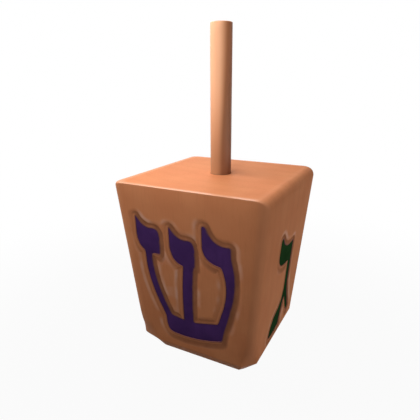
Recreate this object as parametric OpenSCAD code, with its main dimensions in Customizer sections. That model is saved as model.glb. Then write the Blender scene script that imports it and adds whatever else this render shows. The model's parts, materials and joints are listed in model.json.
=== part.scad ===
// A wooden dreidel: a four-sided spinning top with a dowel stem and a carved, painted letter on each side.
// Millimetres, +Z up along the spinning axis, with the origin under the tip of the spinning point.

/* [Block] */
// Width across the flat sides, at the widest place just below the top face
top_w = 38; // [34:0.2:56]
// Width across the flat sides at their lower end
base_w = 31.6; // [28:0.2:46]
// Height of the tapered sides, from the bevel up to the top face
side_h = 41.1; // [39:0.1:60]
// Radius of the rounding along the four top edges
top_round = 1.7; // [0.6:0.1:3]
// Width of the bevel planed off each upright edge, measured along a side
edge_bevel = 2.1; // [1:0.1:3]
// Radius that softens both arrises of that bevel
edge_soft = 2.6; // [0.4:0.1:3]

/* [Spinning point] */
// Height of the bevel below the sides
bevel_h = 4.8; // [3:0.1:8]
// Width across the lower end of that bevel, where the point begins
foot_w = 23.2; // [16:0.2:26]
// Height of the four-sided point below the bevel
point_h = 9; // [6:0.2:12]
// Radius of the rounded tip
nose_r = 1.5; // [1:0.1:2.5]
// Width of the small flat worn on the tip
tip_w = 0.8; // [0.4:0.1:1.2]

/* [Stem] */
// Diameter of the dowel
stem_d = 5; // [4:0.1:8]
// Length of dowel that stands above the top face
stem_out = 33.7; // [20:0.1:50]
// Length of dowel glued into the block
stem_in = 16; // [8:0.5:24]
// Radius of the rounding round the dowel's free end
stem_round = 0.4; // [0.2:0.1:1.2]
// Width of the chamfer round the dowel's glued end
stem_chamfer = 0.4; // [0.2:0.1:1]
// Glue gap between the dowel and its socket
glue_gap = 0.05; // [0.02:0.01:0.2]

/* [Carving and paint] */
// Depth of the carved field round each letter
carve_depth = 0.3; // [0.2:0.05:0.8]
// Width of the carved field round each letter
carve_margin = 1.2; // [0.6:0.1:1.5]
// Thickness of the paint fill, below the floor of the carved field
paint_t = 0.5; // [0.3:0.05:1]
// Gap between the paint fill and the walls of its pocket
paint_gap = 0.02; // [0.01:0.01:0.1]
// Width of the broad pen strokes
broad_pen = 2.5; // [1.8:0.1:3.2]
// Width of the thin pen strokes
thin_pen = 1.7; // [1.2:0.1:2.4]

/* [Letters] */
// Width of the shin
shin_w = 25; // [18:0.2:26]
// Height of the shin
shin_h = 30.6; // [22:0.2:31]
// Height of the shin's foot above the lower end of its side
shin_up = 3.6; // [2.4:0.1:5]
// Sideways place of the shin's middle on its side
shin_across = -0.3; // [-1:0.1:1]
// Width of the gimel
gimel_w = 16; // [12:0.2:22]
// Height of the gimel
gimel_h = 26.2; // [22:0.2:31]
// Height of the gimel's foot above the lower end of its side
gimel_up = 2.4; // [2:0.1:6]
// Sideways place of the gimel's middle on its side
gimel_across = 1.2; // [-1:0.1:2]
// Width of the nun
nun_w = 15; // [12:0.2:22]
// Height of the nun
nun_h = 27.4; // [22:0.2:31]
// Height of the nun's foot above the lower end of its side
nun_up = 4; // [3:0.1:6]
// Width of the he
he_w = 22; // [16:0.2:24]
// Height of the he
he_h = 27.4; // [22:0.2:31]
// Height of the he's foot above the lower end of its side
he_up = 4; // [3:0.1:6]

/* [Hidden] */
$fn = 64;

// How far cuts run past the surface that they open
overrun = 1;
// Flat steps in a quarter turn of the block, in a rounded rim, in the tip and in each curve of a letter
turn_steps = 4;
rim_steps = 6;
nose_steps = 4;
curve_steps = 8;
// A letter's corner grows outward by no more than its margin divided by this
corner_limit = 0.45;

// Levels above the tip
foot_z = point_h;
side_z = foot_z + bevel_h;
top_z = side_z + side_h;
socket_z = top_z - stem_in;
stem_end_z = top_z + stem_out;

function on_circle(centre, r, angle) = centre + r*[cos(angle), sin(angle)];
function on_arc(centre, r, from, to, steps) =
    [for (i = [0:steps]) on_circle(centre, r, from + (to - from)*i/steps)];

// Lean of the sides from upright, so that they run smoothly into the rounded top edges
top_centre = [top_w/2 - top_round, top_z - top_round];
side_run = top_centre - [base_w/2, side_z];
lean = 90 - atan2(side_run[1], side_run[0]) + asin(top_round/norm(side_run));

// Rounded tip: its centre, and the angles where it leaves the worn flat and meets the point
nose_centre = [0, sqrt(nose_r*nose_r - tip_w*tip_w/4)];
point_run = [foot_w/2, foot_z] - nose_centre;
nose_start = -acos(tip_w/2/nose_r);
nose_end = atan2(point_run[1], point_run[0]) - acos(nose_r/norm(point_run));
nose_side = on_circle(nose_centre, nose_r, nose_end);

// Below this half width the upright bevels meet, and the section is a regular octagon
octagon_share = 2 - sqrt(2);
meeting_half_w = edge_bevel/octagon_share;
meeting_share = (meeting_half_w - nose_side[0])/(foot_w/2 - nose_side[0]);
meeting_place = nose_side + meeting_share*([foot_w/2, foot_z] - nose_side);

// Half of the block's outline, from the tip up to the top face, as half widths and heights
half_outline = concat(
    on_arc(nose_centre, nose_r, nose_start, nose_end, nose_steps),
    [meeting_place, [foot_w/2, foot_z], [base_w/2, side_z]],
    on_arc(top_centre, top_round, -lean, 90, rim_steps));

// How far a bevelled and softened square section reaches towards a direction turned from its sides
function reach(half_w, turn) =
    let (bevel = min(edge_bevel, octagon_share*half_w),
         soft = min(edge_soft, bevel/octagon_share),
         long = half_w - soft,
         short = long - bevel + octagon_share*soft,
         c = abs(cos(turn)),
         s = abs(sin(turn)))
    max(long*c + short*s, short*c + long*s) + soft;

// The block's outline as seen at a turn, run through as a long slab
module slab(turn) {
    right = [for (p = half_outline) [reach(p[0], turn), p[1]]];
    left = [for (i = [len(right) - 1:-1:0]) [-right[i][0], right[i][1]]];
    rotate([90, 0, turn]) linear_extrude(2*top_w, center = true) polygon(concat(right, left));
}

// The plain block: what is left where the slabs of every turn cross
module block() {
    intersection_for (i = [0:2*turn_steps - 1]) slab(90*i/turn_steps);
}

// Puts a drawing on one side: X across it, Y up along it from its lower end, Z out of it
module on_side(turn) {
    rotate([0, 0, turn]) translate([0, -base_w/2, side_z]) rotate([90 + lean, 0, 0]) children();
}

// A curve from a to c that is drawn towards b: a point of it, its slope there, and its points after its first
function bend(a, b, c, t) = (1 - t)*(1 - t)*a + 2*t*(1 - t)*b + t*t*c;
function bend_slope(a, b, c, t) = (1 - t)*(b - a) + t*(c - b);
function curve(a, b, c) = [for (i = [1:curve_steps]) bend(a, b, c, i/curve_steps)];

// Closed outline from rows of shares: a row of one point is a straight line to it, and a row of two is
// a curve drawn towards the first that ends on the second
function outline(rows) =
    [for (i = [0:len(rows) - 1])
        let (before = rows[(i + len(rows) - 1) % len(rows)], row = rows[i], from = before[len(before) - 1])
        each len(row) == 1 ? row : curve(from, row[0], row[1])];

// Points in shares of a box, put in the box
function placed(points, corner, size) =
    [for (p = points) [corner[0] + p[0]*size[0], corner[1] + p[1]*size[1]]];

// A solid part of a letter, and a pen head in a box of its own, given in shares of the letter
function part(rows, size) = placed(outline(rows), [0, 0], size);
function head(rows, corner_share, size_share, size) =
    placed(placed(outline(rows), corner_share, size_share), [0, 0], size);

// A pen stroke along a curve of three points, square at both ends
function stroke(path_shares, pen_from, pen_to, size) =
    let (path = placed(path_shares, [0, 0], size),
         sides = [for (i = [0:curve_steps])
             let (t = i/curve_steps,
                  run = bend_slope(path[0], path[1], path[2], t),
                  half = (pen_from + t*(pen_to - pen_from))/2*[-run[1], run[0]]/norm(run),
                  middle = bend(path[0], path[1], path[2], t))
             [middle + half, middle - half]])
    concat([for (s = sides) s[1]], [for (i = [curve_steps:-1:0]) sides[i][0]]);

// Moves a closed outline, drawn counter-clockwise, outward by a margin
function edge_normal(a, b) = [b[1] - a[1], a[0] - b[0]]/norm(b - a);
function grown(points, margin) =
    [for (i = [0:len(points) - 1])
        let (n = len(points),
             before = edge_normal(points[(i + n - 1) % n], points[i]),
             after = edge_normal(points[i], points[(i + 1) % n]))
        points[i] + margin*(before + after)/max(1 + before*after, corner_limit)];

// Pen heads, in shares of their box: a flame with a rounded shoulder, and a broad one with a horn
flame_shares = [
    [[0.01, 0.45]],
    [[0.06, 0.06], [0.45, 0]],
    [[0.97, 0]],
    [[1, 0.45]],
    [[1, 0.71], [0.78, 0.71]],
    [[0.3, 0.64], [0.03, 1]]];
horn_shares = [
    [[0, 0.42]],
    [[0.06, 0.02], [0.64, 0]],
    [[0.98, 0]],
    [[0.98, 0.57]],
    [[0.34, 0.47], [0.14, 1]],
    [[0.02, 1]]];

// Strokes and solid parts of the letters, in shares of each letter's own width and height
shin_left_arm_shares = [[0.122, 0.74], [0.08, 0.47], [0.31, 0.12]];
shin_middle_arm_shares = [[0.542, 0.69], [0.49, 0.4], [0.502, 0.08]];
shin_right_arm_shares = [
    [[0.87, 0.13], [0.935, 0.36]],
    [[1.02, 0.58], [0.955, 0.78]],
    [[0.85, 0.73]],
    [[0.945, 0.57], [0.87, 0.36]],
    [[0.79, 0.16]],
    [[0.8, 0.06]]];
shin_base_shares = [
    [[0.24, 0.02], [0.3, 0.01]],
    [[0.55, -0.02], [0.84, 0.06]],
    [[0.88, 0.21]],
    [[0.8, 0.207]],
    [[0.56, 0.16]],
    [[0.45, 0.16]],
    [[0.3, 0.18]],
    [[0.25, 0.18]]];
gimel_leg_shares = [[0.65, 0.78], [0.65, 0.55], [0.665, 0.28]];
gimel_toe_shares = [[0.655, 0.42], [0.72, 0.28], [0.95, 0.03]];
gimel_foot_shares = [
    [[0.3, -0.045], [0.52, 0]],
    [[0.53, 0.15], [0.7, 0.27]],
    [[0.6, 0.42]],
    [[0.56, 0.22], [0.3, 0.185]],
    [[0.1, 0.16], [0.03, -0.01]]];
nun_leg_shares = [[0.78, 0.74], [0.98, 0.45], [0.86, 0.06]];
nun_base_shares = [
    [[0.95, 0]],
    [[0.96, 0.14]],
    [[0.5, 0.11], [0.08, 0.17]],
    [[0, 0.02]]];
he_roof_shares = [
    [[0, 0.88]],
    [[0.04, 0.78], [0.22, 0.78]],
    [[0.97, 0.77]],
    [[1, 0.9]],
    [[0.3, 0.88], [0.06, 1]],
    [[0, 1]]];
he_right_leg_shares = [[0.9, 0.83], [0.97, 0.4], [0.91, 0]];
he_left_leg_shares = [[0.18, 0.6], [0.08, 0.3], [0.14, 0.02]];

// Each letter as a list of closed outlines, from the lower left corner of its box
shin = let (size = [shin_w, shin_h]) [
    head(flame_shares, [0, 0.7], [0.25, 0.295], size),
    head(flame_shares, [0.352, 0.648], [0.256, 0.3], size),
    head(horn_shares, [0.685, 0.705], [0.275, 0.29], size),
    stroke(shin_left_arm_shares, thin_pen, thin_pen, size),
    stroke(shin_middle_arm_shares, broad_pen, broad_pen, size),
    part(shin_right_arm_shares, size),
    part(shin_base_shares, size)];
gimel = let (size = [gimel_w, gimel_h]) [
    head(horn_shares, [0.065, 0.69], [0.68, 0.31], size),
    stroke(gimel_leg_shares, broad_pen, broad_pen, size),
    stroke(gimel_toe_shares, broad_pen, thin_pen, size),
    part(gimel_foot_shares, size)];
nun = let (size = [nun_w, nun_h]) [
    head(horn_shares, [0.2, 0.69], [0.7, 0.31], size),
    stroke(nun_leg_shares, thin_pen, broad_pen, size),
    part(nun_base_shares, size)];
// The he is drawn in two strokes that stand apart
he_frame = let (size = [he_w, he_h]) [
    part(he_roof_shares, size),
    stroke(he_right_leg_shares, broad_pen, broad_pen, size)];
he_leg = let (size = [he_w, he_h]) [
    stroke(he_left_leg_shares, broad_pen, thin_pen, size)];

// A letter as a solid between two levels of its side, grown by a margin, with the lower middle of its box
// at a place on the side
module letter_solid(letter, width, across, up, margin, from_z, to_z) {
    translate([across - width/2, up, from_z])
        for (points = letter) linear_extrude(to_z - from_z) polygon(grown(points, margin));
}

// What the carver takes out: the shallow field round a letter, and the pocket for its paint
module carving(letter, width, across, up) {
    letter_solid(letter, width, across, up, carve_margin, -carve_depth, overrun);
    letter_solid(letter, width, across, up, paint_gap, -carve_depth - paint_t, overrun);
}

// The paint that fills a pocket up to the floor of the carved field
module paint(letter, width, across, up) {
    letter_solid(letter, width, across, up, 0, -carve_depth - paint_t, -carve_depth);
}

// Which side carries which letter
shin_turn = 0;
gimel_turn = 90;
nun_turn = 180;
he_turn = 270;

module body() {
    color("#c98a5e") difference() {
        block();
        translate([0, 0, socket_z]) cylinder(h = stem_in + overrun, d = stem_d + 2*glue_gap);
        on_side(shin_turn) carving(shin, shin_w, shin_across, shin_up);
        on_side(gimel_turn) carving(gimel, gimel_w, gimel_across, gimel_up);
        on_side(nun_turn) carving(nun, nun_w, 0, nun_up);
        on_side(he_turn) carving(he_frame, he_w, 0, he_up);
        on_side(he_turn) carving(he_leg, he_w, 0, he_up);
    }
}

module stem() {
    glued_end = [[0, socket_z], [stem_d/2 - stem_chamfer, socket_z], [stem_d/2, socket_z + stem_chamfer]];
    rim_centre = [stem_d/2 - stem_round, stem_end_z - stem_round];
    rim = on_arc(rim_centre, stem_round, 0, 90, rim_steps);
    color("#dca377") rotate_extrude() polygon(concat(glued_end, rim, [[0, stem_end_z]]));
}

module letter_shin() {
    color("#301c44") on_side(shin_turn) paint(shin, shin_w, shin_across, shin_up);
}

module letter_gimel() {
    color("#142d14") on_side(gimel_turn) paint(gimel, gimel_w, gimel_across, gimel_up);
}

module letter_nun() {
    color("#5a1418") on_side(nun_turn) paint(nun, nun_w, 0, nun_up);
}

module letter_he() {
    color("#14264f") on_side(he_turn) {
        paint(he_frame, he_w, 0, he_up);
        paint(he_leg, he_w, 0, he_up);
    }
}

body();
stem();
letter_shin();
letter_gimel();
letter_nun();
letter_he();
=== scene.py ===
"""Looks of a carved wooden dreidel: its block, stem and painted letters, with the camera and the light."""

import json
import logging
import math
from dataclasses import dataclass, field
from enum import Enum
from typing import Any, Iterable, Optional, Sequence, Union

import bpy
import numpy as np
from mathutils import Matrix, Vector
from mathutils.geometry import delaunay_2d_cdt


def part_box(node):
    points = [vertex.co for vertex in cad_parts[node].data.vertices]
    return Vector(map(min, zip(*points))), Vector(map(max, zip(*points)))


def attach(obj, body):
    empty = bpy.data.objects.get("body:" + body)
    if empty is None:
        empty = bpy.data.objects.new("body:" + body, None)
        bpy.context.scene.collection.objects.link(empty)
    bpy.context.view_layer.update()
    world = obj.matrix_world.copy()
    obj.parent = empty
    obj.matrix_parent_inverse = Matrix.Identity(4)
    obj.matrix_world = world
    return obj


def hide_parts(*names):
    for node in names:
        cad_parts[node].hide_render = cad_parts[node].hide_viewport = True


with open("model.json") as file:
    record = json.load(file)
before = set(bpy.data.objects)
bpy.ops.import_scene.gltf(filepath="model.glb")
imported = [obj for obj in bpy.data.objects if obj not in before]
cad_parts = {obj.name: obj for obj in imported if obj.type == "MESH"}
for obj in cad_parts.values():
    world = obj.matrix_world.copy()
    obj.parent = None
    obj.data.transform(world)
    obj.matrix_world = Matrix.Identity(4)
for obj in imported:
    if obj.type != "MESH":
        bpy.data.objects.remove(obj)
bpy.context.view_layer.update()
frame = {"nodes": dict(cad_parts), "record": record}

LOG = logging.getLogger("dreidel")
ROOT_BODY = "root"
MM = 0.001
RIGHT_ANGLE = 90.0
QUARTER_TURN = math.pi / 2
FULL_TURN = 2 * math.pi

# Numbers that a mesh carries at its points, by name
DISTANCE_NAME = "letter_distance"
# Where the groove's painted shade is darkest: the letter's lee, and under it
LEE_NAME = "letter_lee"
UNDER_NAME = "letter_under"
# Paler edges: wear, and along the front top edge a painted highlight
EDGE_NAME = "edge_wear_and_highlight"
CARRIED = (DISTANCE_NAME, LEE_NAME, UNDER_NAME, EDGE_NAME)

# Distance in millimetres that a point carries where no letter is near
FAR_FROM_LETTERS = 9.0

# Edges that turn by more degrees than this stay sharp
SHARP_ANGLE = 40.0

# How wax and paint refract light, and the strength at which a background is white
FINISH_IOR = 1.45
WHITE_LEVEL = 1.0

# Curve of screen colours: a straight foot, and a power above it
SCREEN_LEVELS = 255
SCREEN_FOOT = 0.04045
SCREEN_SLOPE = 12.92
SCREEN_OFFSET = 0.055
SCREEN_POWER = 2.4

# Filling of flat outlines: keep the triangles inside, and join points nearer than this in millimetres
FILL_INSIDE = 1
FILL_GAP = 1e-5

# Least length in millimetres to divide by
LEAST_LENGTH = 1e-9

Colour = tuple[float, float, float, float]
PerSide = tuple[float, float, float, float]
Place = tuple[float, float, float]
Pair = tuple[float, float]
Edge = tuple[int, int]
Face = tuple[int, ...]
Key = Union[int, str]


def linear(code: str) -> Colour:
    """Turns a screen colour such as "#c98a5e" into the linear colour that a socket takes.

    Args:
        code: Two hexadecimal digits each for red, green and blue, after a hash.

    Returns:
        Red, green, blue and an alpha of 1.
    """
    shares = []
    for start in (1, 3, 5):
        share = int(code[start:start + 2], 16) / SCREEN_LEVELS
        if share <= SCREEN_FOOT:
            shares.append(share / SCREEN_SLOPE)
        else:
            shares.append(((share + SCREEN_OFFSET) / (1 + SCREEN_OFFSET)) ** SCREEN_POWER)
    red, green, blue = shares
    return red, green, blue, 1.0


WHITE = linear("#ffffff")


def smooth(low: float, high: float, values: np.ndarray) -> np.ndarray:
    """Rises smoothly from 0 at low to 1 at high."""
    share = np.clip((values - low) / (high - low), 0, 1)
    return share * share * (3 - 2 * share)


def wave(angle: np.ndarray) -> np.ndarray:
    """A wave between 0 and 1."""
    return 0.5 + 0.5 * np.sin(angle)


def unit(vector: np.ndarray) -> np.ndarray:
    """The vector, or each row of vectors, at length 1."""
    return vector / np.linalg.norm(vector, axis=-1, keepdims=True)


def arc(centre: np.ndarray, radius: float, angles: np.ndarray) -> np.ndarray:
    """Points of an arc at some angles."""
    return centre + radius * np.column_stack([np.cos(angles), np.sin(angles)])


def fillet(before: np.ndarray, corner: np.ndarray, after: np.ndarray,
           radius: float, steps: int) -> np.ndarray:
    """Rounds one corner of an outline.

    Args:
        before: Point of the outline before the corner.
        corner: The sharp corner.
        after: Point of the outline after the corner.
        radius: Radius of the rounding.
        steps: Straight steps that make up the arc.

    Returns:
        The arc's points, from the side of the point before to the side of the point after.
    """
    back, on = unit(before - corner), unit(after - corner)
    half = math.acos(float(back @ on)) / 2
    centre = corner + unit(back + on) * radius / math.sin(half)
    ends = [corner + way * radius / math.tan(half) - centre for way in (back, on)]
    first, last = (math.atan2(end[1], end[0]) for end in ends)
    turn = (last - first + math.pi) % FULL_TURN - math.pi
    return arc(centre, radius, first + turn * np.linspace(0, 1, steps + 1))


def thinned(points: np.ndarray, spacing: float) -> np.ndarray:
    """Keeps one point in each square of a grid, in their first order."""
    _, first = np.unique(np.floor(points / spacing).astype(int), axis=0, return_index=True)
    return points[np.sort(first)]


def filled(points: np.ndarray, edges: list[Edge]) -> tuple[np.ndarray, list[Face], list[list[int]]]:
    """Fills flat outlines with triangles.

    Args:
        points: Places in the plane, on the outlines and inside them.
        edges: Pairs of points that follow each other on an outline.

    Returns:
        The triangles' corners, the triangles, and for each corner the points that fell together there.
    """
    corners, _, triangles, sources, _, _ = delaunay_2d_cdt(
        [Vector(point) for point in points], edges, [], FILL_INSIDE, FILL_GAP)
    return np.array([tuple(corner) for corner in corners]), [tuple(face) for face in triangles], sources


class Value:
    """A socket of a node sheet. Sums and products of values add Math nodes to the sheet."""

    def __init__(self, sheet: "NodeSheet", socket: Optional[bpy.types.NodeSocket]) -> None:
        """Wraps one output socket of a node in the sheet."""
        self.sheet = sheet
        self.socket = socket

    def math(self, operation: str, first: "Operand", second: "Operand" = 0.0) -> "Value":
        """Adds one Math node and returns its result."""
        return self.sheet.node("ShaderNodeMath", {"operation": operation}, {0: first, 1: second})

    def vector(self, operation: str, other: Sequence[float], output: Key = 0) -> "Value":
        """Adds one Vector Math node and returns its result."""
        return self.sheet.node("ShaderNodeVectorMath", {"operation": operation}, {0: self, 1: other}, output)

    def __add__(self, other: "Operand") -> "Value":
        """The sum of two values."""
        return self.math("ADD", self, other)

    def __sub__(self, other: "Operand") -> "Value":
        """This value less another."""
        return self.math("SUBTRACT", self, other)

    def __rsub__(self, other: "Operand") -> "Value":
        """Another value less this one."""
        return self.math("SUBTRACT", other, self)

    def __mul__(self, other: "Operand") -> "Value":
        """The product of two values."""
        return self.math("MULTIPLY", self, other)

    __radd__ = __add__
    __rmul__ = __mul__

    def fraction(self) -> "Value":
        """What is left above the whole number below."""
        return self.math("FRACT", self)

    def at_most(self, other: "Operand") -> "Value":
        """The smaller of two values."""
        return self.math("MINIMUM", self, other)

    def centred(self) -> "Value":
        """A value from 0 to 1, counted from its middle."""
        return self - 0.5

    def rise(self, low: "Operand", high: "Operand") -> "Value":
        """Rises smoothly from 0 where the value is low to 1 where it is high."""
        settings = {"interpolation_type": "SMOOTHSTEP"}
        return self.sheet.node("ShaderNodeMapRange", settings, {"Value": self, 1: low, 2: high})

    def scaled(self, *shares: float) -> "Value":
        """A vector stretched by a share along each axis."""
        return self.vector("MULTIPLY", shares)

    def counted(self, width: float, length: float) -> "Value":
        """A place counted in widths to the sides and in lengths upwards."""
        return self.scaled(1 / width, 1 / width, 1 / length)

    def moved(self, *steps: float) -> "Value":
        """A vector moved by a step along each axis."""
        return self.vector("ADD", steps)

    def reach(self, *way: float) -> "Value":
        """How far a place lies in a direction."""
        return self.vector("DOT_PRODUCT", way, "Value")

    def length(self) -> "Value":
        """The length of a vector."""
        return self.vector("LENGTH", (0.0, 0.0, 0.0), "Value")


Operand = Union[Value, float, Sequence[float]]


class Detail(Enum):
    """How much fine structure a noise has besides its main bumps."""

    PLAIN = 1.0
    SOFT = 2.0
    FINE = 3.0


class NodeSheet:
    """The nodes of one material or world, and the one place where nodes are added."""

    def __init__(self, owner: Union[bpy.types.Material, bpy.types.World]) -> None:
        """Empties a node tree.

        Args:
            owner: The material or world that it belongs to.
        """
        owner.use_nodes = True
        self.owner = owner
        self.tree = owner.node_tree
        self.tree.nodes.clear()

    @classmethod
    def material(cls, name: str) -> "NodeSheet":
        """A sheet for a new material of that name."""
        return cls(bpy.data.materials.new(name))

    @staticmethod
    def _socket(sockets: Any, key: Key) -> bpy.types.NodeSocket:
        """Finds a socket.

        Args:
            sockets: The inputs or outputs of a node.
            key: The socket's number, identifier or name.

        Returns:
            The socket.
        """
        if isinstance(key, int):
            return sockets[key]
        return next((socket for socket in sockets if socket.identifier == key), None) or sockets[key]

    def node(self, kind: str, settings: Optional[dict[str, Any]] = None,
             inputs: Optional[dict[Key, Operand]] = None, output: Key = 0) -> Value:
        """Adds a node.

        Args:
            kind: The node's type.
            settings: Its properties, which are set before its sockets.
            inputs: A value to link or a constant to set, for each input named or numbered.
            output: The output that is wanted.

        Returns:
            That output.
        """
        node = self.tree.nodes.new(kind)
        for name, setting in (settings or {}).items():
            setattr(node, name, setting)
        for key, operand in (inputs or {}).items():
            socket = self._socket(node.inputs, key)
            if isinstance(operand, Value):
                self.tree.links.new(operand.socket, socket)
            else:
                socket.default_value = operand
        return Value(self, self._socket(node.outputs, output) if node.outputs else None)

    def mixed(self, first: Operand, second: Operand, share: Operand) -> Value:
        """Mixes two colours, the first where the share is 0 and the second where it is 1."""
        inputs = {"Factor_Float": share, "A_Color": first, "B_Color": second}
        return self.node("ShaderNodeMix", {"data_type": "RGBA"}, inputs, "Result_Color")

    def noise(self, place: Value, detail: Detail = Detail.SOFT) -> Value:
        """Soft noise from 0 to 1 with one bump in each unit of the place."""
        inputs = {"Vector": place, "Scale": 1.0, "Detail": detail.value}
        return self.node("ShaderNodeTexNoise", {}, inputs)

    def attribute(self, name: str) -> Value:
        """A number that the mesh carries at each point."""
        return self.node("ShaderNodeAttribute", {"attribute_name": name}, {}, "Fac")

    def millimetres(self) -> Value:
        """The place on the piece, in millimetres of the shared frame."""
        place = self.node("ShaderNodeTexCoord", {}, {}, "Object")
        return place.scaled(1 / MM, 1 / MM, 1 / MM)

    def bump(self, height: Value, strength: float, depth: float) -> Value:
        """A normal that follows a small relief, with its depth in millimetres."""
        inputs = {"Strength": strength, "Distance": depth * MM, "Height": height}
        return self.node("ShaderNodeBump", {}, inputs)

    def seen(self) -> Value:
        """Tells the rays that show the background from those that light the object.

        Returns:
            1 for the rays that show it, and 0 for the others.
        """
        seen_by = ("Is Camera Ray", "Is Glossy Ray", "Is Transmission Ray")
        rays = [self.node("ShaderNodeLightPath", {}, {}, ray) for ray in seen_by]
        return (rays[0] + rays[1] + rays[2]).at_most(1.0)

    def solid(self, inputs: dict[Key, Operand]) -> bpy.types.Material:
        """Ends the sheet of a solid's finish and returns the material."""
        return self.finish(self.node("ShaderNodeBsdfPrincipled", {}, {"IOR": FINISH_IOR, **inputs}))

    def finish(self, surface: Value, kind: str = "ShaderNodeOutputMaterial") -> Any:
        """Joins a shader to the output and returns the material or world."""
        self.node(kind, {}, {"Surface": surface})
        return self.owner


@dataclass(frozen=True)
class Carving:
    """Painted shade in the groove round each letter, and painted highlights in patches along its rim. Lengths
    are millimetres.

    The lee is the letter's right and upper side, where the painted shade is darkest, as it is under the
    letter.
    The groove begins nearer to the letter there, and ends farther out there and under the letter.
    A size is a width across the fibres and a length along them.
    """

    groove_dark: Colour = linear("#87563e")
    hem_dark: Colour = linear("#4f384b")
    rim_pale: Colour = linear("#ecb69c")
    # How the groove's edge wavers
    waver_size: Pair = (1.1, 1.6)
    waver: float = 0.25
    # Distances from the letter between which the dark band begins and ends
    band_start: Pair = (0.25, 0.7)
    start_lee: Pair = (0.25, 0.3)
    band_end: Pair = (0.85, 1.35)
    end_lee: Pair = (0.15, 0.25)
    end_under: Pair = (0.5, 1.4)
    # How much of the band's painted shade shows, with its patches
    band_show: float = 0.2
    patch_size: Pair = (2.6, 3.4)
    patch_show: float = 0.6
    lee_show: float = 0.25
    under_show: float = 0.2
    band_rough: float = 0.15
    # Faint painted shade beside the band, and the dark hem along the letter: paint bled into the wood, with
    # painted shade added in the lee
    near_shade_fade: Pair = (0.1, 1.9)
    near_shade_show: float = 0.25
    hem_fade: Pair = (0.0, 0.5)
    hem_show: float = 0.6
    hem_lee: float = 0.3
    # Painted highlights in patches along the outer rim
    rim_highlight_size: Pair = (5.0, 6.0)
    rim_highlight_range: Pair = (0.42, 0.66)
    rim_start: Pair = (1.1, 1.6)
    rim_end: Pair = (1.7, 2.6)
    rim_show: float = 0.75
    rim_smooth: float = 0.06

    def over(self, sheet: NodeSheet, place: Value, tone: Value, rough: Value) -> tuple[Value, Value]:
        """Lays the carving's painted shade and highlights over plain wood.

        Args:
            sheet: The material's nodes.
            place: The place in millimetres.
            tone: The colour of the plain wood.
            rough: The roughness of the plain wood.

        Returns:
            The colour and the roughness with the carving.
        """
        lee = sheet.attribute(LEE_NAME)
        under = sheet.attribute(UNDER_NAME)
        wander = sheet.noise(place.counted(*self.waver_size), Detail.PLAIN).centred() * self.waver
        away = sheet.attribute(DISTANCE_NAME) + wander
        band = self._band(away, lee, under)
        patch = sheet.noise(place.counted(*self.patch_size))
        # Painted shade in the groove's band, darker in the lee and under the letter
        share = patch * self.patch_show + self.band_show + lee * self.lee_show + under * self.under_show
        # Faint painted shade beside the band, fading out from the letter
        near_shade = (1 - away.rise(*self.near_shade_fade)) * self.near_shade_show
        tone = sheet.mixed(tone, self.groove_dark, (share * band + near_shade * (1 - band)).at_most(1.0))
        # Paint bled into the wood along the letter, with painted shade added in the lee
        hem = (1 - away.rise(*self.hem_fade)) * (lee * self.hem_lee + self.hem_show)
        tone = sheet.mixed(tone, self.hem_dark, hem)
        # Painted highlights in patches along the outer rim, none under the letter
        rim_highlight = sheet.noise(place.counted(*self.rim_highlight_size), Detail.PLAIN).rise(*self.rim_highlight_range)
        rim = (1 - under) * away.rise(*self.rim_start) * (1 - away.rise(*self.rim_end)) * rim_highlight
        tone = sheet.mixed(tone, self.rim_pale, rim * self.rim_show)
        return tone, rough + band * self.band_rough - rim * self.rim_smooth

    def _band(self, away: Value, lee: Value, under: Value) -> Value:
        """Finds the groove's band of painted shade.

        Args:
            away: The distance from the letter.
            lee: How much a place is in the lee.
            under: How much it is under the letter.

        Returns:
            1 in the band and 0 beside it.
        """
        start = (limit - lee * shift for limit, shift in zip(self.band_start, self.start_lee))
        shifts = zip(self.band_end, self.end_lee, self.end_under)
        end = (limit + lee * shift + under * drop for limit, shift, drop in shifts)
        return away.rise(*start) * (1 - away.rise(*end))


@dataclass(frozen=True)
class StemLightAndShade:
    """A painted highlight down the stem's lit side, and painted shade on the side opposite. Lengths are
    millimetres.

    The painted highlight runs out towards the lower end, where painted shade darkens the stem.
    """

    # Colour of the painted highlight on the stem's lit side
    pale: Colour = linear("#ffbf93")
    show: float = 0.9
    side: Pair = (-0.5, -0.866)
    # How deep into that side the painted highlight fades in, and how much deeper at the lower end
    depth: Pair = (-0.2, 1.9)
    lean: Pair = (1.2, 0.25)
    # Heights between which the painted highlight comes in, the painted shade opposite lightens and the
    # painted shade at the lower end ends
    pale_rise: Pair = (56.0, 77.0)
    far_shade_fade: Pair = (56.0, 90.0)
    foot_rise: Pair = (55.0, 76.0)
    # Colour of the painted shade on the side opposite the highlight, darker towards the lower end
    far_side_shade: Colour = linear("#946548")
    far_shade_least: float = 0.35
    far_shade_more: float = 0.65
    # Colour of the painted shade towards the stem's lower end
    foot_shade: Colour = linear("#b98863")

    def over(self, sheet: NodeSheet, place: Value, tone: Value) -> Value:
        """Lays the painted highlight and the painted shade over plain wood.

        Args:
            sheet: The material's nodes.
            place: The place in millimetres.
            tone: The colour of the plain wood.

        Returns:
            The colour with both.
        """
        height = sheet.node("ShaderNodeSeparateXYZ", {}, {0: place}, "Z")
        fall = 1 - height.rise(*self.far_shade_fade)
        limits = (limit + fall * lean for limit, lean in zip(self.depth, self.lean))
        side = place.reach(*self.side, 0.0).rise(*limits)
        # Painted shade: the stem grows darker towards its lower end
        tone = sheet.mixed(self.foot_shade, tone, height.rise(*self.foot_rise))
        # Painted shade opposite the lit side, darker towards the lower end
        far_shade = (1 - side) * (fall * self.far_shade_more + self.far_shade_least)
        tone = sheet.mixed(tone, self.far_side_shade, far_shade)
        # Painted highlight on the lit side, fading out towards the lower end
        return sheet.mixed(tone, self.pale, side * height.rise(*self.pale_rise) * self.show)


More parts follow.
